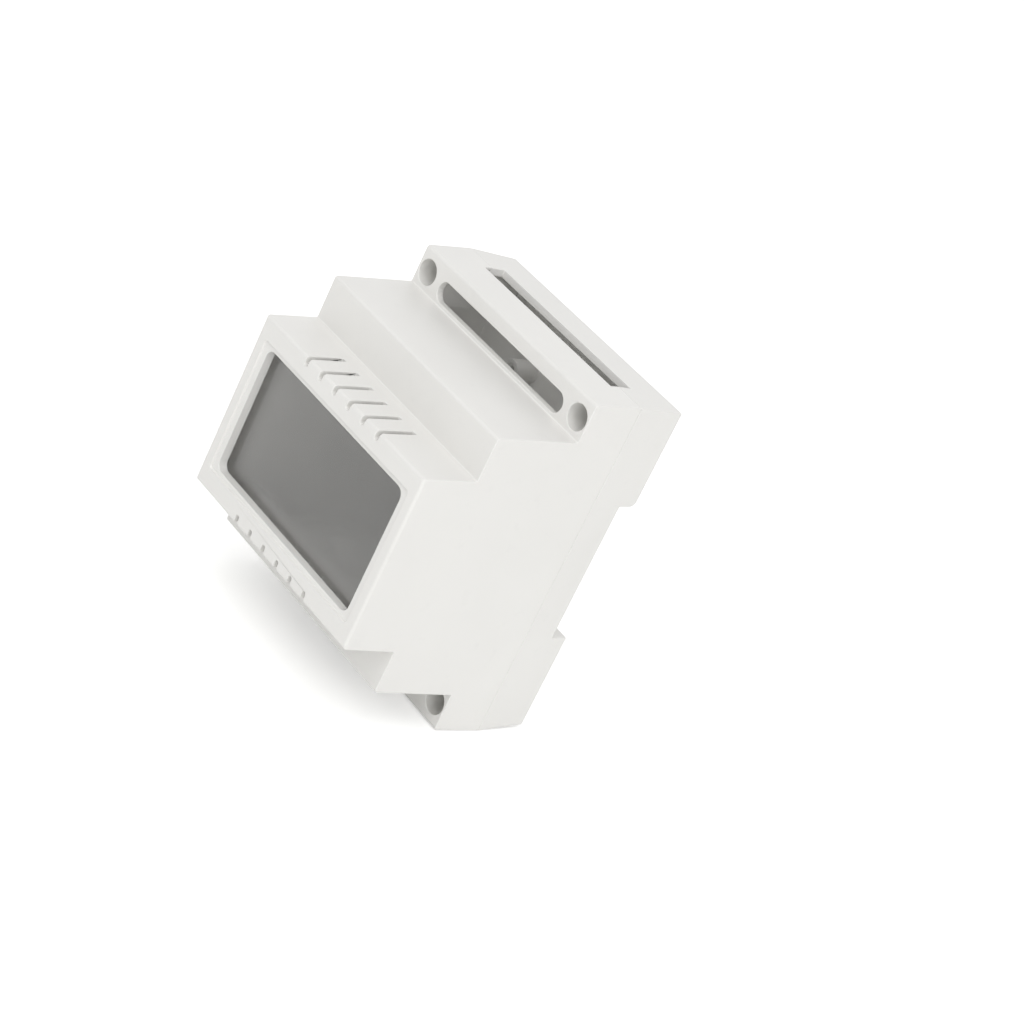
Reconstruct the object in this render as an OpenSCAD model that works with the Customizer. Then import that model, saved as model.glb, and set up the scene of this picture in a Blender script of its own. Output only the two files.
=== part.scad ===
// Stepped DIN rail enclosure: a drafted cover with a window, a base that clips on a 35 mm rail,
// a sprung rail latch and four cover screws.
// X runs along the rail, Y from the front to the panel and Z up. The origin is the middle of the
// face that rests on the rail. Depths are counted from the front face.

/* [Housing] */
// Width along the rail, at the parting line
housing_w = 70; // [68:0.5:142]
// Height across the rail, at the parting line
housing_h = 90; // [88:0.5:100]
// Depth from the front face to the back
housing_d = 66; // [64:0.5:77]
// Depth of the parting line between cover and base
parting_d = 51.3; // [48:0.1:52.8]
// Wall thickness of cover and base
wall = 2; // [1.6:0.1:2.4]
// Draft of the cover's walls, in degrees
cover_draft = 1.5; // [1:0.25:3]
// Draft of the base's walls, in degrees
base_draft = 3.5; // [2:0.5:6]
// Radius of the moulded outer edges
edge_r = 0.8; // [0.4:0.1:1.2]

/* [Cover steps] */
// Height of the nose at the front face
nose_h = 45; // [42:0.5:48]
// Depth of the nose, from the front face to the first step
nose_d = 14.6; // [12:0.1:20]
// Height of the shoulder at the first step
shoulder_h = 68.2; // [62:0.2:70]
// Depth of the terminal face, the second step, from the front face
shoulder_d = 37.7; // [32:0.1:40]
// Depth at which the end walls step to their thinner part
end_step_d = 32.9; // [24:0.1:34.5]
// How much thicker the end walls are in front of that step
end_step = 0.4; // [0.2:0.1:0.8]

/* [Window] */
// Margin between the window opening and the ends of the front face
window_side = 4.8; // [4:0.1:12]
// Margin between the window opening and the top and bottom of the front face
window_top = 6.2; // [5:0.1:10]
// Corner radius of the window opening
window_r = 2.2; // [1:0.1:4]
// Width of the shallow label recess beside the opening
label_side = 1.8; // [1:0.1:3]
// Height of the label recess above and below the opening
label_top = 1.1; // [0.8:0.1:2]
// Depth of the label recess
label_d = 0.5; // [0.3:0.1:0.8]
// Corner radius of the label recess
label_r = 0.8; // [0.3:0.1:2]
// Thickness of the front wall, on whose back the window plate seats
front_t = 3; // [2.2:0.1:3.4]
// Thickness of the window plate
plate_t = 2; // [1:0.1:3]
// Gap round the window plate
plate_gap = 0.25; // [0.1:0.05:0.4]
// Bite of the snap ribs behind the window plate
snap_bite = 0.7; // [0.5:0.05:1]
// Width of each snap rib
snap_w = 6; // [3:0.5:8]
// Distance of the snap ribs from the ends of the front face
snap_side = 9.7; // [8:0.1:12]

/* [Vents] */
// Number of vent slots in a row
vent_count = 6; // [2:1:6]
// Spacing of the vent slots
vent_pitch = 6; // [4:0.05:6.4]
// Width of a vent slot
vent_w = 1.3; // [0.8:0.1:2]
// Length of a vent slot from the front face
vent_d = 10.3; // [8:0.1:11]
// Depth of the round-ended notch where the slot runs out over the front wall
vent_notch = 2.2; // [1:0.1:2.4]

/* [Terminal openings] */
// Web between the screwdriver slot in the terminal face and the counterbores beside it
driver_web = 2.3; // [1.5:0.05:8]
// Height of the screwdriver slot
driver_h = 5.2; // [4.6:0.1:6]
// Distance of the slot from the shoulder below it
driver_lift = 0.95; // [0.8:0.05:2]
// Web between the wire openings in the top and bottom and the screw bosses beside them
wire_web = 0.85; // [0.4:0.1:8]
// Reach of the wire opening into the cover
wire_front = 2.25; // [1.6:0.05:4]
// Reach of the wire opening into the base
wire_back = 4.2; // [3:0.1:5]

/* [Joint] */
// Thickness of the cover's rim outside the tongue
rim_t = 0.95; // [0.7:0.05:1.1]
// Height of the base's tongue
tongue_h = 1.3; // [0.8:0.1:2]
// Gap between tongue and rim
tongue_gap = 0.12; // [0.05:0.01:0.2]

/* [Cover screws] */
// Distance of each screw from the end of the housing
screw_inset_x = 4.1; // [4:0.1:6]
// Distance of each screw from the top or bottom
screw_inset_z = 5.8; // [5.2:0.1:6.2]
// Diameter of the screw head
screw_head_w = 5.9; // [5:0.1:6]
// Diameter of the shank under the head
screw_shank_w = 2.9; // [2.5:0.1:3.1]
// Diameter of the thread's core
screw_core_w = 2.2; // [1.8:0.1:2.3]
// Distance of the screw's tip from the back of the base
screw_rest = 1.5; // [1.3:0.1:4]
// Diameter of the counterbore
sink_w = 6.3; // [6.2:0.1:6.6]
// Depth of the screw head below the terminal face
sink_d = 6.3; // [5:0.1:6.5]
// Outer radius of the base's screw bosses
boss_r = 4.3; // [3.9:0.1:4.6]
// Distance from the screw to the inner side of the cover's corner block
block_side = 4.15; // [3.7:0.05:4.4]

/* [Circuit board supports] */
// Height of the support ribs and pillars over the wall behind them
rib_h = 1.5; // [1:0.1:3]
// Distance of the lower pillars from the end of the housing
pillar_inset = 6; // [6:0.1:12]
// Distance of the upper pillars from the middle
pillar_x = 12; // [6:0.1:22]
// Distance of the pillars from the rail recess's edge
pillar_lift = 7.4; // [5.5:0.1:9]
// Outer radius of a pillar
pillar_r = 2.7; // [2.2:0.1:2.9]
// Radius of the pillar's pilot hole
pillar_hole_r = 0.85; // [0.6:0.05:1.2]
// Radius of the shallow seat round that hole
pillar_seat_r = 1.6; // [1.4:0.1:2]
// Thickness of the support ribs
rib_t = 1.2; // [0.8:0.1:1.6]
// Distance between the support ribs
rib_pitch = 13; // [8:0.5:16]

/* [Rail] */
// Height of the rail's section
rail_h = 35; // [35:0.5:36]
// Thickness of the rail's flange
rail_t = 1; // [0.8:0.1:1.5]
// Height of the recess that takes the rail
recess_h = 37; // [36.5:0.1:38]
// Depth of that recess
recess_d = 5.3; // [5.2:0.1:6.5]
// Radius of the recess's upper outer corner
recess_r = 2; // [0.8:0.1:2.2]
// Play between the flange and what holds it
rail_play = 0.3; // [0.2:0.05:0.5]
// Reach of the fixed hooks and of the latch behind the flange
hook_bite = 2.4; // [1.5:0.1:3]
// Width of a fixed hook
hook_w = 10; // [6:0.5:12]
// Distance of the fixed hooks from the middle
hook_x = 17; // [16.5:0.5:22]

/* [Rail latch] */
// Width of the latch
latch_w = 15.4; // [14:0.2:15.8]
// Thickness of the latch
latch_t = 2.6; // [2:0.1:2.7]
// Travel of the latch to free the rail
latch_travel = 4; // [3:0.1:4.5]
// Gap between the latch and its channel
latch_gap = 0.3; // [0.2:0.05:0.35]
// Width of the bar between the spring legs
latch_bar_w = 9.2; // [8:0.2:9.4]
// Thickness of each spring leg
leg_t = 1.5; // [1:0.1:1.7]
// Reach of the barb at the end of each leg
barb_bite = 0.9; // [0.5:0.1:1]
// Height of that barb
barb_h = 3; // [2:0.1:4]
// Wall round the latch channel
channel_wall = 1.25; // [1:0.05:1.3]
// Lip that holds each edge of the latch
channel_lip = 1.6; // [1:0.1:2]
// How far the latch's tab stands below the base
latch_tab = 0.6; // [0.2:0.1:0.9]

/* [Hidden] */

$fn = 48;
EPS = 0.01;
REACH = 200;            // longer than any size of the part, for cuts that go right through
ARC_STEPS = 5;          // flats in the arc of a rounded edge

light_grey = "#E9E9E5";
smoke_grey = "#7F7D78";
zinc = "#C9CDD2";

cover_slope = tan(cover_draft);
base_slope = tan(base_draft);
seat_d = housing_d - recess_d;                     // depth of the face that rests on the rail
board_d = seat_d - wall - rib_h;                   // depth of the plane on which a board rests

window_w = 2 * (half_w(0) - window_side);
window_h = nose_h - 2 * window_top;
snap_x = half_w(0) - snap_side;
snap_back_d = front_t + plate_t + 0.05;            // the plate has 0.05 of play before the snap ribs
snap_flat = 0.6;
snap_l = 2.2;

screw_x = housing_w / 2 - screw_inset_x;
screw_z = housing_h / 2 - screw_inset_z;
screw_hole_w = screw_shank_w + 0.4;
seat_gap = 0.03;                                   // gap under the head's cone
head_top_d = shoulder_d + sink_d;
head_rim = 0.3;                                    // height of the cylindrical rim of the head
head_cone = (screw_head_w - screw_shank_w) / 2;    // height of the 90 degree cone below it
cross_w = 0.8;                                     // width of the arms of the cross recess
cross_l = 0.6 * screw_head_w;
cross_d = 1.3;
pilot_w = screw_core_w + 0.1;
pilot_rest = 0.5;                                  // room beyond the screw's tip
tip_d = housing_d - screw_rest;
screw_l = tip_d - head_top_d;

driver_w = 2 * (screw_x - sink_w / 2 - driver_web);
wire_w = 2 * (screw_x - boss_r - wire_web);
rebate_h = tongue_h + 0.2;                         // the rebate is deeper than the tongue is high

hook_front_d = seat_d + rail_t + rail_play;        // depth of the faces behind the flange
hook_back_d = housing_d - 0.9;
hook_lead = 0.6;                                   // chamfer that guides the flange in
hook_nose = 1.8;                                   // slope over which the hook snaps on
flange_gap = 0.2;                                  // play above and below the rail
hook_root_z = rail_h / 2 + flange_gap;
hook_tip_z = rail_h / 2 - hook_bite;

latch_front_d = hook_front_d;
latch_back_d = latch_front_d + latch_t;
channel_front_d = latch_front_d - latch_gap;
channel_back_d = latch_back_d + latch_gap;
channel_x = latch_w / 2 + latch_gap;
channel_floor_t = 1.5;
latch_top_z = -rail_h / 2 + hook_bite;
latch_foot_z = -half_h(latch_front_d) - latch_tab;
slab_h = 5.5;                                      // part of the latch's head inside the channel
leg_top_z = -recess_h / 2 - slab_h;
barb_low_z = -half_h(latch_front_d) + 6;
barb_top_z = barb_low_z + barb_h;
barb_x = latch_w / 2 + barb_bite;
pocket_top_z = barb_top_z + latch_gap;
pocket_low_z = barb_low_z - latch_travel - latch_gap;
ramp_low_x = barb_x + latch_gap;
ramp_top_x = ramp_low_x + 0.4;                     // the ramps close in on the legs as the latch is drawn
block_x = ramp_top_x + channel_wall;
pillar_low_x = housing_w / 2 - pillar_inset;
pillar_z = recess_h / 2 + pillar_lift;
pillar_seat_t = 0.5;
tip_pocket_t = 0.6;                                // pocket in the seat, clear of the latch's tip
tool_w = 5;                                        // hole in the latch for a screwdriver's tip
tool_h = 1.8;
tool_z = latch_foot_z + 2.2;
notch_w = 7;                                       // notch in the base that lets the tip in
notch_h = 5;
notch_d = 3.5;

// Outline helpers. A point is [x, y, corner radius].
function unit(v) = v / norm(v);
function turn(a) = a > 180 ? a - 360 : a < -180 ? a + 360 : a;
function corner(before, at, after, r) =
    let (
        u = unit(before - at),
        v = unit(after - at),
        half = acos(u * v) / 2,
        middle = at + unit(u + v) * r / sin(half),
        first = at + u * r / tan(half) - middle,
        last = at + v * r / tan(half) - middle,
        start = atan2(first.y, first.x),
        step = turn(atan2(last.y, last.x) - start) / ARC_STEPS
    )
    [for (i = [0 : ARC_STEPS]) middle + r * [cos(start + step * i), sin(start + step * i)]];
function xy(p) = [p.x, p.y];
function rounded(points) =
    let (n = len(points))
    [for (i = [0 : n - 1])
        each points[i].z <= 0
            ? [xy(points[i])]
            : corner(xy(points[(i + n - 1) % n]), xy(points[i]), xy(points[(i + 1) % n]), points[i].z)];
function backwards(list) = [for (i = [len(list) - 1 : -1 : 0]) list[i]];
function mirrored(half) = concat(half, [for (p = backwards(half)) [p.x, -p.y, p.z]]);
function mirrored_x(half) = concat(half, [for (p = backwards(half)) [-p.x, p.y]]);

// Half width and half heights of the outside at a depth d
function half_w(d) =
    housing_w / 2 - (d < parting_d ? (parting_d - d) * cover_slope : (d - parting_d) * base_slope);
function half_h(d) =
    housing_h / 2 - (d < parting_d ? (parting_d - d) * cover_slope : (d - parting_d) * base_slope);
function nose_half(d) = nose_h / 2 + d * cover_slope;
function shoulder_half(d) = shoulder_h / 2 + (d - nose_d) * cover_slope;

// The cover's outline seen from the end, drawn in by t and starting at depth front.
function cover_side(t, front, r) = mirrored([
    [front, nose_half(front) - t, r],
    [nose_d + t, nose_half(nose_d + t) - t, r / 2],
    [nose_d + t, shoulder_half(nose_d + t) - t, r],
    [shoulder_d + t, shoulder_half(shoulder_d + t) - t, r / 2],
    [shoulder_d + t, half_h(shoulder_d + t) - t, r],
    [parting_d, housing_h / 2 - t, 0],
]);

// The base's outline seen from the end, drawn in by t; low_r is the lower recess corner's radius.
function base_side(t, r, high_r, low_r) = [
    [parting_d, housing_h / 2 - t, 0],
    [housing_d - t, half_h(housing_d - t) - t, r],
    [housing_d - t, recess_h / 2 + t, high_r],
    [seat_d - t, recess_h / 2 + t, r / 2],
    [seat_d - t, -recess_h / 2 - t, r / 2],
    [housing_d - t, -recess_h / 2 - t, low_r],
    [housing_d - t, -half_h(housing_d - t) + t, r],
    [parting_d, -housing_h / 2 + t, 0],
];

// Extrusions: a profile of [depth, z] drawn along X, of [x, depth] along Z, of [x, z] along depth.
module along_x(w) rotate([90, 0, 90]) linear_extrude(w, center = true) children();
module along_z(h) linear_extrude(h, center = true) children();
module along_d(from, to) translate([0, to, 0]) rotate([90, 0, 0]) linear_extrude(to - from) children();
module bore(x, z, from, to, r) translate([x, from, z]) rotate([-90, 0, 0]) cylinder(h = to - from, r = r);
module block(x, z, from, to, w, h) translate([x, (from + to) / 2, z]) cube([w, to - from, h], center = true);
module at_screws() for (x = [-screw_x, screw_x], z = [-screw_z, screw_z]) translate([x, 0, z]) children();
module at_top_and_bottom() for (side = [0, 1]) mirror([0, 0, side]) children();
module in_rail_frame() translate([0, -seat_d, 0]) children();

// ---- Cover ----
module cover_body() intersection() {
    along_x(REACH) polygon(rounded(cover_side(0, 0, edge_r)));
    along_z(REACH) polygon(rounded([
        [-half_w(0), 0, edge_r], [half_w(0), 0, edge_r],
        [housing_w / 2, parting_d, 0], [-housing_w / 2, parting_d, 0],
    ]));
}

module cover_hollow() intersection() {
    union() {
        along_x(REACH) polygon(rounded(cover_side(wall, front_t, 0)));
        block(0, 0, parting_d - EPS, parting_d + 1, REACH, housing_h - 2 * wall);
    }
    along_z(REACH) polygon(mirrored_x([
        [half_w(front_t) - wall - end_step, front_t],
        [half_w(end_step_d) - wall - end_step, end_step_d],
        [half_w(end_step_d) - wall, end_step_d],
        [housing_w / 2 - wall, parting_d],
        [housing_w / 2 - wall, parting_d + 1],
    ]));
}

module rounded_rect(w, h, r) polygon(rounded([
    [-w / 2, -h / 2, r], [w / 2, -h / 2, r], [w / 2, h / 2, r], [-w / 2, h / 2, r],
]));

module window_cut() {
    along_d(-1, front_t + 1) rounded_rect(window_w, window_h, window_r);
    along_d(-1, label_d) rounded_rect(window_w + 2 * label_side, window_h + 2 * label_top, label_r);
}

// Four wedges on the nose's inner faces, behind which the plate snaps.
module plate_snaps() for (x = [-snap_x, snap_x]) at_top_and_bottom() {
    face = nose_half(snap_back_d) - wall;
    translate([x, 0, 0]) along_x(snap_w) polygon([
        [snap_back_d, face + 0.5], [snap_back_d, face - snap_bite],
        [snap_back_d + snap_flat, face - snap_bite], [snap_back_d + snap_l, face + 0.5],
    ]);
}

module vents() at_top_and_bottom() for (i = [0 : vent_count - 1]) {
    x = (i - (vent_count - 1) / 2) * vent_pitch;
    top = nose_half(0);
    translate([x, 0, top - vent_notch + vent_w / 2]) along_d(-1, front_t) {
        circle(d = vent_w);
        translate([-vent_w / 2, 0]) square([vent_w, 2 * vent_notch]);
    }
    block(x, top, front_t - EPS, vent_d, vent_w, 4 * wall);
}

module driver_slot() at_top_and_bottom() {
    low = shoulder_half(shoulder_d) + driver_lift;
    translate([0, 0, low + driver_h / 2]) along_d(shoulder_d - 1, shoulder_d + wall + 1) {
        square([driver_w - driver_h, driver_h], center = true);
        for (x = [-1, 1]) translate([x * (driver_w - driver_h) / 2, 0]) circle(d = driver_h);
    }
}

module wire_opening(from, to) at_top_and_bottom()
    block(0, housing_h / 2, from, to, wire_w, 4 * wall);

// The step between cover and base: gap is 0 for the cover's rebate and tongue_gap for the tongue.
module rim_ring(gap, from, to) difference() {
    outside = rim_t + gap;
    inside = wall + tongue_gap - gap;
    block(0, 0, from, to, housing_w - 2 * outside, housing_h - 2 * outside);
    block(0, 0, from - 1, to + 1, housing_w - 2 * inside, housing_h - 2 * inside);
}

// The cover's corners are solid round the screws, down to the shoulder's wall.
module corner_blocks() at_top_and_bottom() for (side = [0, 1]) mirror([side, 0, 0])
    translate([screw_x - block_side + REACH / 2, 0, 0]) along_x(REACH) polygon([
        [shoulder_d, shoulder_half(shoulder_d) - wall], [parting_d, shoulder_half(parting_d) - wall],
        [parting_d, REACH], [shoulder_d, REACH],
    ]);

module screw_hole() {
    cone_d = head_top_d + head_rim - (sink_w - screw_head_w) / 2 + seat_gap;
    bore(0, 0, shoulder_d - 1, cone_d + EPS, sink_w / 2);
    translate([0, cone_d, 0]) rotate([-90, 0, 0])
        cylinder(h = (sink_w - screw_hole_w) / 2, d1 = sink_w, d2 = screw_hole_w);
    bore(0, 0, head_top_d, parting_d + 1, screw_hole_w / 2);
}

module cover() color(light_grey) in_rail_frame() difference() {
    cover_body();
    difference() {
        cover_hollow();
        corner_blocks();
        plate_snaps();
    }
    window_cut();
    vents();
    driver_slot();
    wire_opening(parting_d - wire_front, parting_d + 1);
    rim_ring(0, parting_d - rebate_h, parting_d + 1);
    at_screws() screw_hole();
}

// ---- Base ----
module base_body() intersection() {
    along_x(REACH) polygon(rounded(base_side(0, edge_r, recess_r, edge_r)));
    along_z(REACH) polygon(rounded([
        [-housing_w / 2, parting_d, 0], [housing_w / 2, parting_d, 0],
        [half_w(housing_d), housing_d, edge_r], [-half_w(housing_d), housing_d, edge_r],
    ]));
}

module base_hollow() intersection() {
    union() {
        along_x(REACH) polygon([for (p = base_side(wall, 0, 0, 0)) xy(p)]);
        block(0, 0, parting_d - 1, parting_d + EPS, REACH, housing_h - 2 * wall);
    }
    along_z(REACH) polygon(mirrored_x([
        [housing_w / 2 - wall, parting_d - 1],
        [housing_w / 2 - wall, parting_d],
        [half_w(housing_d) - wall, housing_d],
    ]));
}

// Two pillars in the upper foot, and two farther apart in the lower one, clear of the latch.
module at_pillars() for (side = [-1, 1]) {
    translate([side * pillar_x, 0, pillar_z]) children();
    translate([side * pillar_low_x, 0, -pillar_z]) children();
}

module pillar_holes() at_pillars() {
    bore(0, 0, board_d - 1, housing_d - wall - 0.5, pillar_hole_r);
    bore(0, 0, board_d - 1, board_d + pillar_seat_t, pillar_seat_r);
}

module support_ribs() for (i = [-1.5 : 1 : 1.5])
    block(i * rib_pitch, 0, board_d, seat_d, rib_t, recess_h + 2 * wall);

// The boxed-in channel of the latch, and the box round the screwdriver notch.
module latch_block() {
    low = -housing_h / 2;
    top = -recess_h / 2;
    block(0, (low + top) / 2, channel_front_d - channel_floor_t, housing_d, 2 * block_x, top - low);
    notch_top = latch_foot_z + latch_tab + notch_h + channel_wall;
    block(0, (low + notch_top) / 2, channel_front_d - notch_d - channel_floor_t, housing_d,
        notch_w + 2 * channel_wall, notch_top - low);
}

module latch_channel() {
    top = -recess_h / 2 + 1;
    block(0, top - REACH / 2, channel_front_d, channel_back_d, 2 * channel_x, REACH);
    block(0, top - REACH / 2, channel_back_d - EPS, housing_d + 1, 2 * (channel_x - channel_lip), REACH);
    for (side = [0, 1]) mirror([side, 0, 0]) along_d(channel_front_d, channel_back_d) polygon([
        [channel_x - 1, pocket_low_z], [ramp_low_x, pocket_low_z],
        [ramp_top_x, pocket_top_z], [channel_x - 1, pocket_top_z],
    ]);
    block(0, latch_foot_z + latch_tab + notch_h - REACH / 2, channel_front_d - notch_d, channel_front_d + EPS,
        notch_w, REACH);
}

// Windows in the floor under the hooks, through which the mould forms their undersides, and the
// pocket in front of the latch's tip.
module seat_cuts() {
    for (x = [-hook_x, hook_x])
        block(x, (hook_tip_z + hook_root_z - flange_gap) / 2, board_d - 1, seat_d + EPS,
            hook_w + flange_gap, hook_root_z - hook_tip_z + flange_gap);
    block(0, (latch_top_z + latch_gap - recess_h / 2) / 2, seat_d - tip_pocket_t, seat_d + EPS,
        2 * channel_x, recess_h / 2 + latch_top_z + latch_gap);
}

// Two hooks that hold the rail's upper flange, and two pads that bear its lower edge.
module rail_hooks() for (x = [-hook_x, hook_x]) translate([x, 0, 0]) {
    ledge = recess_h / 2;
    along_x(hook_w) polygon([
        [seat_d - 1, ledge + 1], [seat_d - 1, hook_root_z], [hook_front_d, hook_root_z],
        [hook_front_d, hook_tip_z + hook_lead], [hook_front_d + hook_lead, hook_tip_z],
        [hook_back_d - 1, hook_tip_z + 0.3], [hook_back_d, hook_tip_z + hook_nose], [hook_back_d, ledge + 1],
    ]);
    along_x(hook_w) polygon([
        [seat_d - 1, -ledge - 1], [seat_d - 1, -hook_root_z], [hook_back_d - hook_lead, -hook_root_z],
        [hook_back_d, -hook_root_z - hook_lead], [hook_back_d, -ledge - 1],
    ]);
}

module base() color(light_grey) in_rail_frame() difference() {
    union() {
        difference() {
            base_body();
            difference() {
                base_hollow();
                at_screws() bore(0, 0, parting_d - 2, housing_d, boss_r);
                at_pillars() bore(0, 0, board_d, housing_d, pillar_r);
                support_ribs();
                latch_block();
            }
        }
        rim_ring(tongue_gap, parting_d - tongue_h, parting_d + EPS);
        rail_hooks();
    }
    seat_cuts();
    at_screws() bore(0, 0, parting_d - 2, tip_d + pilot_rest, pilot_w / 2);
    pillar_holes();
    wire_opening(parting_d - 2, parting_d + wire_back);
    latch_channel();
}

// ---- Window plate ----
module window() color(smoke_grey, 0.6) in_rail_frame()
    along_d(front_t, front_t + plate_t) rounded_rect(
        2 * (half_w(front_t) - wall - end_step - plate_gap),
        2 * (nose_half(front_t) - wall - plate_gap),
        1
    );

// ---- Rail latch: one moulded slide with two spring legs ----
module latch_bar() difference() {
    union() {
        translate([-latch_w / 2, leg_top_z]) square([latch_w, latch_top_z - leg_top_z]);
        translate([-latch_bar_w / 2, latch_foot_z]) square([latch_bar_w, latch_top_z - latch_foot_z]);
    }
    translate([0, tool_z]) square([tool_w, tool_h], center = true);
}

module latch_leg() polygon([
    [latch_w / 2 - leg_t, barb_low_z], [barb_x - 0.8, barb_low_z], [barb_x, barb_low_z + 0.8],
    [barb_x, barb_top_z], [latch_w / 2, barb_top_z],
    [latch_w / 2, leg_top_z + 1], [latch_w / 2 - leg_t, leg_top_z + 1],
]);

module latch_side() polygon([
    [latch_front_d, latch_foot_z], [latch_front_d, latch_top_z - hook_lead],
    [latch_front_d + hook_lead, latch_top_z], [latch_back_d - 1.4, latch_top_z - 0.2],
    [latch_back_d, latch_top_z - 2], [latch_back_d, latch_foot_z + 0.8], [latch_back_d - 0.8, latch_foot_z],
]);

module rail_latch() color(light_grey) in_rail_frame() intersection() {
    union() {
        along_d(latch_front_d - 1, latch_back_d + 1) latch_bar();
        for (side = [0, 1]) mirror([side, 0, 0]) along_d(latch_front_d - 1, latch_back_d + 1) latch_leg();
    }
    along_x(REACH) latch_side();
}

// ---- Cover screws: countersunk, cross recess; the thread is drawn at its core ----
module screw(x, z) color(zinc) in_rail_frame()
    translate([x, head_top_d, z]) rotate([-90, 0, 0]) screw_body();

module screw_body() difference() {
    tip_h = screw_core_w;
    rotate_extrude() polygon([
        [0, 0], [screw_head_w / 2, 0], [screw_head_w / 2, head_rim],
        [screw_shank_w / 2, head_rim + head_cone], [screw_shank_w / 2, parting_d - head_top_d - 0.5],
        [screw_core_w / 2, parting_d - head_top_d], [screw_core_w / 2, screw_l - tip_h],
        [0.2, screw_l], [0, screw_l],
    ]);
    for (a = [45, 135]) rotate([0, 0, a]) translate([0, 0, cross_d / 2 - 0.5])
        cube([cross_l, cross_w, cross_d + 1], center = true);
}

cover();
base();
window();
rail_latch();
screw(-screw_x, screw_z);  // screw_upper_left
screw(screw_x, screw_z);  // screw_upper_right
screw(-screw_x, -screw_z);  // screw_lower_left
screw(screw_x, -screw_z);  // screw_lower_right
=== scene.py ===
"""Looks of a stepped DIN rail enclosure: moulded shells, a smoked window, a rail latch and screws.

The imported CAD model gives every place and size. Lengths are in metres; X runs along the rail, Y from
the front to the panel and Z up, and the origin is the middle of the face that rests on the rail.
"""

import logging
import math
from dataclasses import dataclass
from enum import Enum

import bmesh
import bpy
from mathutils import Matrix, Vector


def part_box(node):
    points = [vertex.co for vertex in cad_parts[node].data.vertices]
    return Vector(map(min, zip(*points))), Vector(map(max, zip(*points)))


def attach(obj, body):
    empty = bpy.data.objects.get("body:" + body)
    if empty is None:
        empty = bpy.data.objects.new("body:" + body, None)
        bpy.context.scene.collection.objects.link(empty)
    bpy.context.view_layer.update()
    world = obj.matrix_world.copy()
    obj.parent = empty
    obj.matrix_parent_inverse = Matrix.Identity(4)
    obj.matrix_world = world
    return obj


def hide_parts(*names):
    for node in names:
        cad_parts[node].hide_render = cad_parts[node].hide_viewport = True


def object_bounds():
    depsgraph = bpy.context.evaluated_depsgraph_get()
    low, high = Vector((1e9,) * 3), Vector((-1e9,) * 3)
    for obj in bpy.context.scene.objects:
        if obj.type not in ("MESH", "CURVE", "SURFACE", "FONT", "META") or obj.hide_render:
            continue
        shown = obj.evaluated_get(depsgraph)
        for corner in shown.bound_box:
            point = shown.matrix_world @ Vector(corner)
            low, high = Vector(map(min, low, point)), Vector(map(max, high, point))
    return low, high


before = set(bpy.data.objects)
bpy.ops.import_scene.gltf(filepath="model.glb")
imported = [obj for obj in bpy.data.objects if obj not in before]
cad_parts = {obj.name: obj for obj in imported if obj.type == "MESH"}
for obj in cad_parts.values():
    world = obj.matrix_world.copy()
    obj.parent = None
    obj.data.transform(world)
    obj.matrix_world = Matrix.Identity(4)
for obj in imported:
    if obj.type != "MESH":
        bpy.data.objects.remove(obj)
CAD_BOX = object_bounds()

LOG = logging.getLogger("enclosure")
MM = 0.001
MERGE_MM = 0.002
SHARP_DEG = 32.0


class Body(Enum):
    """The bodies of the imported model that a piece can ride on."""

    HOUSING = "housing"
    LATCH = "latch"


class Slot(Enum):
    """The record's material slots."""

    PLASTIC = "housing_plastic"
    PLATE = "smoked_plate"
    STEEL = "zinc_steel"


class Mould(Enum):
    """How a mould's surface was finished: bump height in millimetres and roughness of the moulding."""

    SPARKED = (0.012, 0.46)


# ---- Materials ----


def linear(code: str, alpha: float = 1.0) -> tuple[float, float, float, float]:
    """Turns an sRGB hex colour into Blender's linear one.

    Args:
        code: the colour as six hex digits after a hash.
        alpha: the fourth value of the result.

    Returns:
        Red, green, blue and alpha.
    """
    channels = [int(code[i : i + 2], 16) / 255 for i in (1, 3, 5)]
    red, green, blue = (c / 12.92 if c <= 0.04045 else ((c + 0.055) / 1.055) ** 2.4 for c in channels)
    return red, green, blue, alpha


def add_node(tree: bpy.types.NodeTree, kind: str, links: dict | None = None, **settings) -> bpy.types.Node:
    """Adds a node with its settings and links.

    Args:
        tree: the node tree that takes it.
        kind: the node's type name.
        links: for each input, by name or number, the output socket it is linked to or its value.
        settings: attributes of the node.

    Returns:
        The new node.
    """
    node = tree.nodes.new(kind)
    for name, value in settings.items():
        setattr(node, name, value)
    for name, value in (links or {}).items():
        if isinstance(value, bpy.types.NodeSocket):
            tree.links.new(value, node.inputs[name])
        else:
            node.inputs[name].default_value = value
    return node


def new_material(name: str) -> tuple[bpy.types.Material, bpy.types.NodeTree]:
    """Makes an empty node material.

    Args:
        name: the material's name.

    Returns:
        The material and its node tree.
    """
    material = bpy.data.materials.new(name)
    material.use_nodes = True
    material.node_tree.nodes.clear()
    return material, material.node_tree


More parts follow.
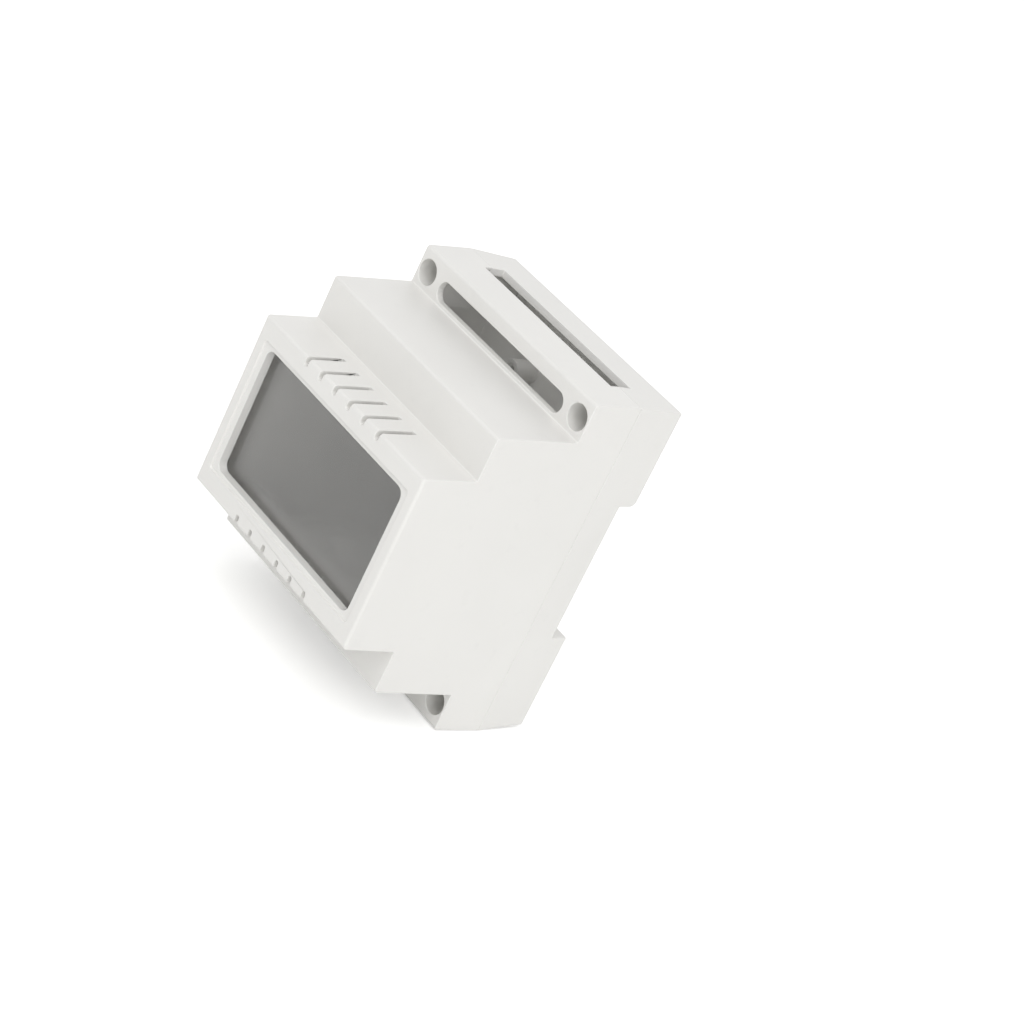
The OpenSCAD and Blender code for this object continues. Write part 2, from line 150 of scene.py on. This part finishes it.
@dataclass(frozen=True)
class MouldedAbs:
    """Light grey ABS, injection-moulded: a satin skin whose sparked mould left a fine even grain."""

    name: str = "abs_light_grey_moulded"
    colour: str = "#E8E7E4"
    flow_colour: str = "#E3E2DF"
    shade_colour: str = "#DDDCD9"
    mould: Mould = Mould.SPARKED
    grain_mm: float = 0.35
    scuff_mm: float = 5.0
    flow_mm: float = 22.0
    ior: float = 1.53

    def build(self) -> bpy.types.Material:
        """Builds the material.

        Returns:
            The material, whose patterns read Object coordinates.
        """
        material, tree = new_material(self.name)
        where = add_node(tree, "ShaderNodeTexCoord").outputs["Object"]
        # Melt flow: the tone drifts a little over tens of millimetres.
        flow = add_node(
            tree, "ShaderNodeTexNoise", {"Vector": where, "Scale": 1 / (self.flow_mm * MM), "Detail": 2.0}
        )
        tone = add_node(
            tree,
            "ShaderNodeMix",
            {0: flow.outputs["Fac"], 6: linear(self.colour), 7: linear(self.flow_colour)},
            data_type="RGBA",
        )
        # Handling: faint scuffs that are a shade darker and a little glossier.
        scuff = add_node(
            tree,
            "ShaderNodeTexNoise",
            {"Vector": where, "Scale": 1 / (self.scuff_mm * MM), "Detail": 5.0, "Roughness": 0.7},
        )
        worn = add_node(
            tree,
            "ShaderNodeMapRange",
            {"Value": scuff.outputs["Fac"], "From Min": 0.58, "From Max": 0.80, "To Max": 0.5},
        )
        skin = add_node(
            tree,
            "ShaderNodeMix",
            {0: worn.outputs["Result"], 6: tone.outputs[2], 7: linear(self.shade_colour)},
            data_type="RGBA",
        )
        height_mm, roughness = self.mould.value
        gloss = add_node(
            tree,
            "ShaderNodeMapRange",
            {
                "Value": scuff.outputs["Fac"],
                "From Min": 0.3,
                "From Max": 0.8,
                "To Min": roughness + 0.05,
                "To Max": roughness - 0.08,
            },
        )
        # The grain of the mould is drawn coarser than the real 0.05 mm, so that it shows.
        grain = add_node(
            tree,
            "ShaderNodeTexNoise",
            {"Vector": where, "Scale": 1 / (self.grain_mm * MM), "Detail": 3.0, "Roughness": 0.6},
        )
        bump = add_node(
            tree,
            "ShaderNodeBump",
            {"Strength": 0.35, "Distance": height_mm * MM, "Height": grain.outputs["Fac"]},
        )
        shader = add_node(
            tree,
            "ShaderNodeBsdfPrincipled",
            {
                "Base Color": skin.outputs[2],
                "Roughness": gloss.outputs["Result"],
                "IOR": self.ior,
                "Normal": bump.outputs["Normal"],
            },
        )
        add_node(tree, "ShaderNodeOutputMaterial", {"Surface": shader.outputs[0]})
        return material


@dataclass(frozen=True)
class SmokedPlate:
    """Smoked polycarbonate, moulded and polished: a grey body whose skin is hazed by fine wipe marks."""

    name: str = "polycarbonate_smoked_polished"
    colour: str = "#8F8A7D"
    density: float = 45.0
    ior: float = 1.585
    roughness: float = 0.15
    specular: float = 0.35
    wipe_mm: float = 9.0

    def build(self) -> bpy.types.Material:
        """Builds the material.

        Returns:
            The material: the grey is absorbed in the plate's own thickness.
        """
        material, tree = new_material(self.name)
        where = add_node(tree, "ShaderNodeTexCoord").outputs["Object"]
        wipe = add_node(
            tree,
            "ShaderNodeTexNoise",
            {"Vector": where, "Scale": 1 / (self.wipe_mm * MM), "Detail": 6.0, "Roughness": 0.65},
        )
        gloss = add_node(
            tree,
            "ShaderNodeMapRange",
            {
                "Value": wipe.outputs["Fac"],
                "From Min": 0.3,
                "From Max": 0.75,
                "To Min": self.roughness - 0.03,
                "To Max": self.roughness + 0.05,
            },
        )
        shader = add_node(
            tree,
            "ShaderNodeBsdfPrincipled",
            {
                "Base Color": (1, 1, 1, 1),
                "Roughness": gloss.outputs["Result"],
                "IOR": self.ior,
                "Specular IOR Level": self.specular,
                "Transmission Weight": 1.0,
            },
        )
        smoke = add_node(
            tree, "ShaderNodeVolumeAbsorption", {"Color": linear(self.colour), "Density": self.density}
        )
        add_node(
            tree, "ShaderNodeOutputMaterial", {"Surface": shader.outputs[0], "Volume": smoke.outputs[0]}
        )
        return material


@dataclass(frozen=True)
class ZincPlate:
    """Steel with bright zinc plating: a cool pale metal, a little cloudy, with a drifting tint."""

    name: str = "steel_zinc_plated"
    colour: str = "#C8CCD0"
    drift_colour: str = "#CFCBBE"
    roughness: float = 0.28
    drift_mm: float = 2.5
    cloud_mm: float = 0.5
    bump_mm: float = 0.01

    def build(self) -> bpy.types.Material:
        """Builds the material.

        Returns:
            The material, whose patterns read Object coordinates.
        """
        material, tree = new_material(self.name)
        where = add_node(tree, "ShaderNodeTexCoord").outputs["Object"]
        # Passivation: the tint drifts between bluish and yellowish.
        drift = add_node(
            tree, "ShaderNodeTexNoise", {"Vector": where, "Scale": 1 / (self.drift_mm * MM), "Detail": 3.0}
        )
        tone = add_node(
            tree,
            "ShaderNodeMix",
            {0: drift.outputs["Fac"], 6: linear(self.colour), 7: linear(self.drift_colour)},
            data_type="RGBA",
        )
        # Barrel plating: the gloss is cloudy, with tiny dents.
        cloud = add_node(
            tree, "ShaderNodeTexNoise", {"Vector": where, "Scale": 1 / (self.cloud_mm * MM), "Detail": 4.0}
        )
        gloss = add_node(
            tree,
            "ShaderNodeMapRange",
            {"Value": cloud.outputs["Fac"], "To Min": self.roughness - 0.1, "To Max": self.roughness + 0.14},
        )
        bump = add_node(
            tree,
            "ShaderNodeBump",
            {"Strength": 0.2, "Distance": self.bump_mm * MM, "Height": cloud.outputs["Fac"]},
        )
        shader = add_node(
            tree,
            "ShaderNodeBsdfPrincipled",
            {
                "Base Color": tone.outputs[2],
                "Metallic": 1.0,
                "Roughness": gloss.outputs["Result"],
                "Normal": bump.outputs["Normal"],
            },
        )
        add_node(tree, "ShaderNodeOutputMaterial", {"Surface": shader.outputs[0]})
        return material


# ---- Meshes ----


def merged_copy(node: str) -> bmesh.types.BMesh:
    """Copies a CAD solid and joins its loose triangles.

    Args:
        node: the CAD node's name.

    Returns:
        The copy, which the caller writes to a mesh and frees.
    """
    work = bmesh.new()
    work.from_mesh(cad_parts[node].data)
    bmesh.ops.remove_doubles(work, verts=work.verts, dist=MERGE_MM * MM)
    return work


def written(work: bmesh.types.BMesh, name: str) -> bpy.types.Mesh:
    """Writes the working mesh to a new mesh and frees it.

    Args:
        work: the working mesh.
        name: the new mesh's name.

    Returns:
        The new mesh.
    """
    mesh = bpy.data.meshes.new(name)
    work.to_mesh(mesh)
    work.free()
    return mesh


def linked(name: str, mesh: bpy.types.Mesh) -> bpy.types.Object:
    """Puts a mesh in the scene at the origin.

    Args:
        name: the object's name.
        mesh: its mesh.

    Returns:
        The new object.
    """
    piece = bpy.data.objects.new(name, mesh)
    bpy.context.scene.collection.objects.link(piece)
    return piece


def bake(piece: bpy.types.Object) -> bpy.types.Mesh:
    """Makes a piece's modifiers part of its mesh.

    Args:
        piece: the object with live modifiers.

    Returns:
        The baked mesh, which the piece now has.
    """
    graph = bpy.context.evaluated_depsgraph_get()
    baked = bpy.data.meshes.new_from_object(piece.evaluated_get(graph), depsgraph=graph)
    piece.modifiers.clear()
    piece.data = baked
    baked.name = piece.name
    return baked


# ---- Moulded parts ----


@dataclass
class Moulding:
    """A moulded part: its CAD solid with the small radii that a mould leaves on every edge."""

    node: str
    piece: str
    body: Body
    slot: Slot
    edge_mm: float = 0.22
    segments: int = 2
    flat_deg: float = 0.4

    def build(self, material: bpy.types.Material) -> bpy.types.Object:
        """Copies the solid, rounds its sharp edges and puts the copy in its place.

        Args:
            material: the finish of the whole part.

        Returns:
            The finished piece.
        """
        mesh = self._merged()
        mesh.materials.clear()
        mesh.materials.append(material)
        piece = linked(self.piece, mesh)
        self._round(piece)
        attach(piece, self.body.value)
        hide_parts(self.node)
        LOG.info("%s: %d faces", self.piece, len(piece.data.polygons))
        return piece

    def _merged(self) -> bpy.types.Mesh:
        """Makes a closed mesh of flat faces from the solid's loose triangles.

        Returns:
            The new mesh.
        """
        work = merged_copy(self.node)
        bmesh.ops.dissolve_degenerate(work, edges=work.edges, dist=MERGE_MM * MM)
        bmesh.ops.dissolve_limit(
            work, angle_limit=math.radians(self.flat_deg), verts=work.verts, edges=work.edges, delimit=set()
        )
        return written(work, self.piece)

    def _round(self, piece: bpy.types.Object) -> None:
        """Rounds the sharp edges and keeps the flat faces flat.

        Args:
            piece: the object whose mesh is rounded.
        """
        bevel = piece.modifiers.new("edges", "BEVEL")
        bevel.width = self.edge_mm * MM
        bevel.segments = self.segments
        bevel.limit_method = "ANGLE"
        bevel.angle_limit = math.radians(SHARP_DEG)
        bevel.use_clamp_overlap = False
        bevel.miter_outer = "MITER_SHARP"
        # Flat faces keep their own normal, so that only the rounded edges catch a highlight.
        weighted = piece.modifiers.new("flat faces", "WEIGHTED_NORMAL")
        weighted.mode = "FACE_AREA"
        weighted.weight = 100
        weighted.keep_sharp = True
        piece.data.shade_smooth()
        bake(piece)


@dataclass
class ScrewSet:
    """The four countersunk screws that hold cover and base together, with their rolled threads.

    One CAD screw is repeated at the corners of a rectangle, and a helix gives each its thread.
    """

    nodes: tuple[str, ...] = (
        "screw_upper_left",
        "screw_upper_right",
        "screw_lower_left",
        "screw_lower_right",
    )
    piece: str = "cover_screws"
    thread_mm: float = 14.5
    pitch_mm: float = 1.1
    crest_mm: float = 1.45
    rib_mm: float = 0.3
    turn_points: int = 24
    rib_sides: int = 4

    def build(self, material: bpy.types.Material) -> bpy.types.Object:
        """Repeats the screw with geometry nodes and bakes the result.

        Args:
            material: the finish of the screws.

        Returns:
            One piece that stands for all four CAD screws.
        """
        boxes = [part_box(node) for node in self.nodes]
        centres = [(Vector(low) + Vector(high)) / 2 for low, high in boxes]
        middle = sum(centres, Vector()) / len(centres)
        across = max(c.x for c in centres) - min(c.x for c in centres)
        upward = max(c.z for c in centres) - min(c.z for c in centres)
        tip = max(Vector(box[1]).y for box in boxes)
        piece = linked(self.piece, self._centred(centres[0]))
        values = {
            "Spacing X": across,
            "Spacing Z": upward,
            "Middle": (middle.x, 0.0, middle.z),
            "Thread Start": (0.0, tip - self.thread_mm * MM, 0.0),
            "Thread Length": (self.thread_mm - self.pitch_mm) * MM,
            "Turns": self.thread_mm / self.pitch_mm - 1,
            "Crest Radius": (self.crest_mm - self.rib_mm / 2) * MM,
            "Rib Radius": self.rib_mm * MM,
            "Material": material,
        }
        modifier = piece.modifiers.new("screws", "NODES")
        modifier.node_group = self._tree()
        for item in modifier.node_group.interface.items_tree:
            if item.in_out == "INPUT" and item.name in values:
                modifier[item.identifier] = values[item.name]
        baked = bake(piece)
        baked.shade_smooth()
        baked.set_sharp_from_angle(angle=math.radians(SHARP_DEG))
        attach(piece, Body.HOUSING.value)
        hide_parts(*self.nodes)
        LOG.info("%s: %d faces", self.piece, len(baked.polygons))
        return piece

    def _centred(self, centre: Vector) -> bpy.types.Mesh:
        """Copies the first CAD screw with its axis on the Y axis.

        Args:
            centre: the middle of that screw.

        Returns:
            The new mesh.
        """
        work = merged_copy(self.nodes[0])
        bmesh.ops.translate(work, verts=work.verts, vec=Vector((-centre.x, 0, -centre.z)))
        bmesh.ops.recalc_face_normals(work, faces=work.faces)
        return written(work, self.piece)

    def _tree(self) -> bpy.types.NodeTree:
        """Builds the node group: a screw with its thread, repeated at a rectangle's corners.

        Returns:
            The node group with its named inputs.
        """
        tree = bpy.data.node_groups.new("screw_rectangle", "GeometryNodeTree")
        face = tree.interface
        face.new_socket("Screw", in_out="INPUT", socket_type="NodeSocketGeometry")
        for name in ("Spacing X", "Spacing Z", "Thread Length", "Turns", "Crest Radius", "Rib Radius"):
            face.new_socket(name, in_out="INPUT", socket_type="NodeSocketFloat")
        for name in ("Middle", "Thread Start"):
            face.new_socket(name, in_out="INPUT", socket_type="NodeSocketVector")
        face.new_socket("Material", in_out="INPUT", socket_type="NodeSocketMaterial")
        face.new_socket("Screws", in_out="OUTPUT", socket_type="NodeSocketGeometry")
        given = add_node(tree, "NodeGroupInput").outputs
        corners = add_node(
            tree,
            "GeometryNodeMeshGrid",
            {"Size X": given["Spacing X"], "Size Y": given["Spacing Z"], "Vertices X": 2, "Vertices Y": 2},
        )
        # The grid is laid flat, so it is turned up to stand across the screws.
        upright = add_node(
            tree,
            "GeometryNodeTransform",
            {
                "Geometry": corners.outputs["Mesh"],
                "Translation": given["Middle"],
                "Rotation": (math.pi / 2, 0, 0),
            },
        )
        helix = add_node(
            tree,
            "GeometryNodeCurveSpiral",
            {
                "Resolution": self.turn_points,
                "Rotations": given["Turns"],
                "Start Radius": given["Crest Radius"],
                "End Radius": given["Crest Radius"],
                "Height": given["Thread Length"],
            },
        )
        section = add_node(
            tree,
            "GeometryNodeCurvePrimitiveCircle",
            {"Resolution": self.rib_sides, "Radius": given["Rib Radius"]},
        )
        rib = add_node(
            tree,
            "GeometryNodeCurveToMesh",
            {"Curve": helix.outputs[0], "Profile Curve": section.outputs[0], "Fill Caps": True},
        )
        thread = add_node(
            tree,
            "GeometryNodeTransform",
            {
                "Geometry": rib.outputs[0],
                "Translation": given["Thread Start"],
                "Rotation": (-math.pi / 2, 0, 0),
            },
        )
        whole = add_node(tree, "GeometryNodeJoinGeometry", {0: given["Screw"]})
        tree.links.new(thread.outputs[0], whole.inputs[0])
        placed = add_node(
            tree, "GeometryNodeInstanceOnPoints", {"Points": upright.outputs[0], "Instance": whole.outputs[0]}
        )
        real = add_node(tree, "GeometryNodeRealizeInstances", {"Geometry": placed.outputs[0]})
        plated = add_node(
            tree, "GeometryNodeSetMaterial", {"Geometry": real.outputs[0], "Material": given["Material"]}
        )
        add_node(tree, "NodeGroupOutput", {"Screws": plated.outputs[0]})
        return tree


# ---- Sub-assemblies ----


@dataclass
class Housing:
    """The closed box: cover, base tray, smoked plate and the screws that hold them."""

    plate_edge_mm: float = 0.1

    def build(self, plastic: bpy.types.Material) -> None:
        """Builds the housing's parts.

        Args:
            plastic: the finish of both shells.
        """
        Moulding("cover", "cover_shell", Body.HOUSING, Slot.PLASTIC).build(plastic)
        Moulding("base", "base_tray", Body.HOUSING, Slot.PLASTIC).build(plastic)
        plate = Moulding("window", "window_plate", Body.HOUSING, Slot.PLATE, edge_mm=self.plate_edge_mm)
        plate.build(SmokedPlate().build())
        ScrewSet().build(ZincPlate().build())


@dataclass
class RailLatch:
    """The sprung slide that holds the lower edge of the rail."""

    edge_mm: float = 0.2

    def build(self, plastic: bpy.types.Material) -> None:
        """Builds the slide.

        Args:
            plastic: its finish, the same as the shells'.
        """
        Moulding("rail_latch", "latch_slide", Body.LATCH, Slot.PLASTIC, edge_mm=self.edge_mm).build(plastic)


# ---- Studio ----


@dataclass
class Studio:
    """A plain white floor, soft lights and the camera."""

    floor_z: float
    eye: tuple[float, float, float] = (0.413014, -0.454859, 0.259430)
    forward: tuple[float, float, float] = (-0.6131012, 0.6845297, -0.3943680)
    up: tuple[float, float, float] = (-0.5672320, -0.0339829, 0.8228566)
    focal_px: float = 2807.44
    picture_px: float = 1024.0
    sensor_mm: float = 36.0
    floor_half: float = 4.0
    glow: float = 0.35
    sky: float = 0.62
    light_side: float = 0.9
    lights: tuple[tuple[str, tuple[float, float, float], float], ...] = (
        ("key", (0.25, -0.55, 0.85), 4.3),
        ("fill", (0.95, -0.35, 0.25), 3.0),
        ("back", (-0.5, 0.8, 0.7), 1.6),
    )

    def build(self) -> None:
        """Makes the camera, the floor, the lights and the world."""
        self.add_camera()
        self.add_floor()
        for name, place, power in self.lights:
            self.add_light(name, place, power)
        self.add_world()
        bpy.context.scene.view_settings.view_transform = "Standard"

    def add_camera(self) -> None:
        """Adds the camera, which looks along forward with up turned upwards."""
        data = bpy.data.cameras.new("camera")
        data.sensor_width = self.sensor_mm
        data.lens = self.sensor_mm * self.focal_px / self.picture_px
        data.clip_start, data.clip_end = 0.01, 20
        camera = bpy.data.objects.new("camera", data)
        forward, up = Vector(self.forward).normalized(), Vector(self.up)
        right = forward.cross(up).normalized()
        up = right.cross(forward)
        turn = Matrix((right, up, -forward)).transposed().to_4x4()
        camera.matrix_world = Matrix.Translation(Vector(self.eye)) @ turn
        bpy.context.scene.collection.objects.link(camera)
        bpy.context.scene.camera = camera

    def add_floor(self) -> None:
        """Adds the white floor, which glows for the camera and still takes the object's shadow."""
        material, tree = new_material("floor_white_paper")
        paper = add_node(tree, "ShaderNodeBsdfDiffuse", {"Color": linear("#F4F4F3")})
        glow = add_node(tree, "ShaderNodeEmission", {"Color": (1, 1, 1, 1), "Strength": self.glow})
        path = add_node(tree, "ShaderNodeLightPath")
        seen = add_node(
            tree,
            "ShaderNodeMath",
            {0: path.outputs["Is Camera Ray"], 1: path.outputs["Is Glossy Ray"]},
            operation="MAXIMUM",
        )
        seen = add_node(
            tree,
            "ShaderNodeMath",
            {0: seen.outputs[0], 1: path.outputs["Is Transmission Ray"]},
            operation="MAXIMUM",
        )
        black = add_node(tree, "ShaderNodeEmission", {"Strength": 0.0})
        extra = add_node(
            tree, "ShaderNodeMixShader", {0: seen.outputs[0], 1: black.outputs[0], 2: glow.outputs[0]}
        )
        total = add_node(tree, "ShaderNodeAddShader", {0: paper.outputs[0], 1: extra.outputs[0]})
        add_node(tree, "ShaderNodeOutputMaterial", {"Surface": total.outputs[0]})
        mesh = bpy.data.meshes.new("floor")
        half = self.floor_half
        corners = [(x * half, y * half, self.floor_z) for x, y in ((-1, -1), (1, -1), (1, 1), (-1, 1))]
        mesh.from_pydata(corners, [], [(0, 1, 2, 3)])
        mesh.materials.append(material)
        floor = linked("floor", mesh)

    def add_light(self, name: str, place: tuple[float, float, float], power: float) -> None:
        """Adds a square soft light that points at the object.

        Args:
            name: the light's name.
            place: where it stands, in metres.
            power: its power in watts.
        """
        data = bpy.data.lights.new(name, "AREA")
        data.shape = "SQUARE"
        data.size = self.light_side
        data.energy = power
        light = bpy.data.objects.new(name, data)
        light.location = place
        light.rotation_mode = "QUATERNION"
        light.rotation_quaternion = (-Vector(place)).to_track_quat("-Z", "Y")
        bpy.context.scene.collection.objects.link(light)

    def add_world(self) -> None:
        """Sets an even white surround, which the camera sees as plain white."""
        world = bpy.data.worlds.new("surround")
        world.use_nodes = True
        tree = world.node_tree
        tree.nodes.clear()
        path = add_node(tree, "ShaderNodeLightPath")
        strength = add_node(
            tree,
            "ShaderNodeMapRange",
            {"Value": path.outputs["Is Camera Ray"], "To Min": self.sky, "To Max": 1.0},
        )
        sky = add_node(
            tree, "ShaderNodeBackground", {"Color": (1, 1, 1, 1), "Strength": strength.outputs["Result"]}
        )
        add_node(tree, "ShaderNodeOutputWorld", {"Surface": sky.outputs[0]})
        bpy.context.scene.world = world


def main() -> None:
    """Builds the studio and the parts in order."""
    logging.basicConfig(level=logging.INFO, format="%(name)s: %(message)s")
    Studio(floor_z=CAD_BOX[0].z).build()
    plastic = MouldedAbs().build()
    Housing().build(plastic)
    RailLatch().build(plastic)


if __name__ == "__main__":
    main()
